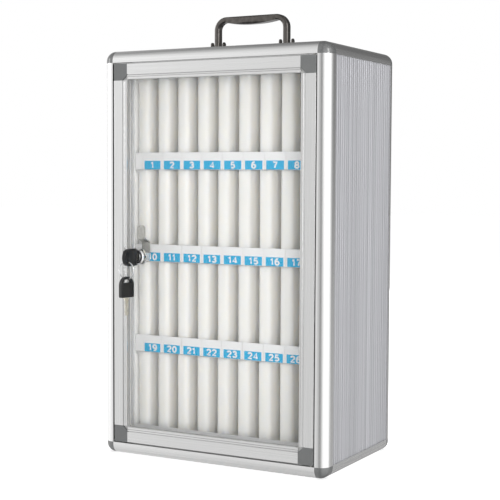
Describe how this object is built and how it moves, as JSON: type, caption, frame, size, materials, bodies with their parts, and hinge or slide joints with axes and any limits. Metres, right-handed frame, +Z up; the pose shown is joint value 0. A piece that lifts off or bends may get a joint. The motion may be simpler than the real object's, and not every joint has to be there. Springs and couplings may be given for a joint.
{
  "type": "phone locker box",
  "caption": "Free-standing lockable box with an aluminium edge frame, a clear hinged door, foam-lined numbered phone slots and a folding carry handle.",
  "frame": {"origin": "centre of the flat underside, on the surface that the box stands on", "axes": "+Z up along the box's height, -Y out of the glazed front, +X to the right seen from the front"},
  "size_m": [0.4, 0.2965, 0.7105],
  "materials": {
    "frame_aluminium": "satin anodised, extruded",
    "cap_plastic": "moulded, matt grey",
    "sheet_board": "fibreboard faced in silver grey",
    "rack_board": "white",
    "foam": "soft white foam",
    "clear_strip": "clear plastic",
    "card": "white card with blue number fields",
    "bush_plastic": "white nylon",
    "dark_chrome": "dark polished plating",
    "steel": "plain",
    "block_plastic": "moulded, matt dark grey",
    "seal_rubber": "matt dark grey",
    "pane_clear": "clear acrylic",
    "lock_chrome": "polished",
    "zinc": "bright zinc plate",
    "key_nickel": "nickel plate",
    "key_plastic": "black"
  },
  "bodies": {
    "cabinet": {"post_front_left": "frame_aluminium", "post_front_right": "frame_aluminium", "post_rear_left": "frame_aluminium", "post_rear_right": "frame_aluminium", "rail_front_top": "frame_aluminium", "rail_front_bottom": "frame_aluminium", "rail_rear_top": "frame_aluminium", "rail_rear_bottom": "frame_aluminium", "rail_left_top": "frame_aluminium", "rail_left_bottom": "frame_aluminium", "rail_right_top": "frame_aluminium", "rail_right_bottom": "frame_aluminium", "corner_caps_top": "cap_plastic", "corner_caps_bottom": "cap_plastic", "side_sheet_left": "sheet_board", "side_sheet_right": "sheet_board", "top_sheet": "sheet_board", "back_sheet": "sheet_board", "base_sheet": "sheet_board", "hinge_bushes": "bush_plastic", "rack_cheek_left": "rack_board", "rack_cheek_right": "rack_board", "rack_back": "rack_board", "rack_shelves": "rack_board", "rack_top": "rack_board", "foam_row_1": "foam", "foam_row_2": "foam", "foam_row_3": "foam", "foam_row_4": "foam", "label_holders": "clear_strip", "label_cards": "card", "handle_brackets": "dark_chrome", "handle_rivets": "steel", "handle_pins": "dark_chrome"},
    "door": {"door_stile_left": "frame_aluminium", "door_stile_right": "frame_aluminium", "door_rail_top": "frame_aluminium", "door_rail_bottom": "frame_aluminium", "door_corner_blocks": "block_plastic", "door_hinge_pins": "steel", "door_seal": "seal_rubber", "door_pane": "pane_clear", "lock_housing": "lock_chrome", "lock_nut": "lock_chrome"},
    "plug": {"lock_plug": "lock_chrome", "lock_cam": "zinc", "cam_bolt": "zinc"},
    "key": {"key_blade": "key_nickel", "key_bow": "key_plastic"},
    "ring": {"key_ring": "steel"},
    "spare_key": {"spare_key_blade": "key_nickel", "spare_key_bow": "key_plastic"},
    "handle": {"handle_bail": "dark_chrome"}
  },
  "joints": [
    {"name": "door_hinge", "type": "hinge", "parent": "cabinet", "child": "door", "pos_m": [0.1745, -0.123, 0.325], "axis": [0, 0, 1], "range_deg": [0, 105]},
    {"name": "lock_turn", "type": "hinge", "parent": "door", "child": "plug", "pos_m": [-0.136, -0.123, 0.322], "axis": [0, -1, 0], "range_deg": [0, 90]},
    {"name": "key_slide", "type": "slide", "parent": "plug", "child": "key", "axis": [0, -1, 0], "range_m": [0, 0.028]},
    {"name": "ring_swing", "type": "hinge", "parent": "key", "child": "ring", "pos_m": [-0.136, -0.1552, 0.31593], "axis": [1, 0, 0], "range_deg": [-60, 5]},
    {"name": "spare_key_swing", "type": "hinge", "parent": "ring", "child": "spare_key", "pos_m": [-0.136, -0.1552, 0.28793], "axis": [1, 0, 0], "range_deg": [-30, 5]},
    {"name": "handle_fold", "type": "hinge", "parent": "cabinet", "child": "handle", "pos_m": [0, 0.006, 0.6605], "axis": [1, 0, 0], "range_deg": [-90, 90]}
  ]
}
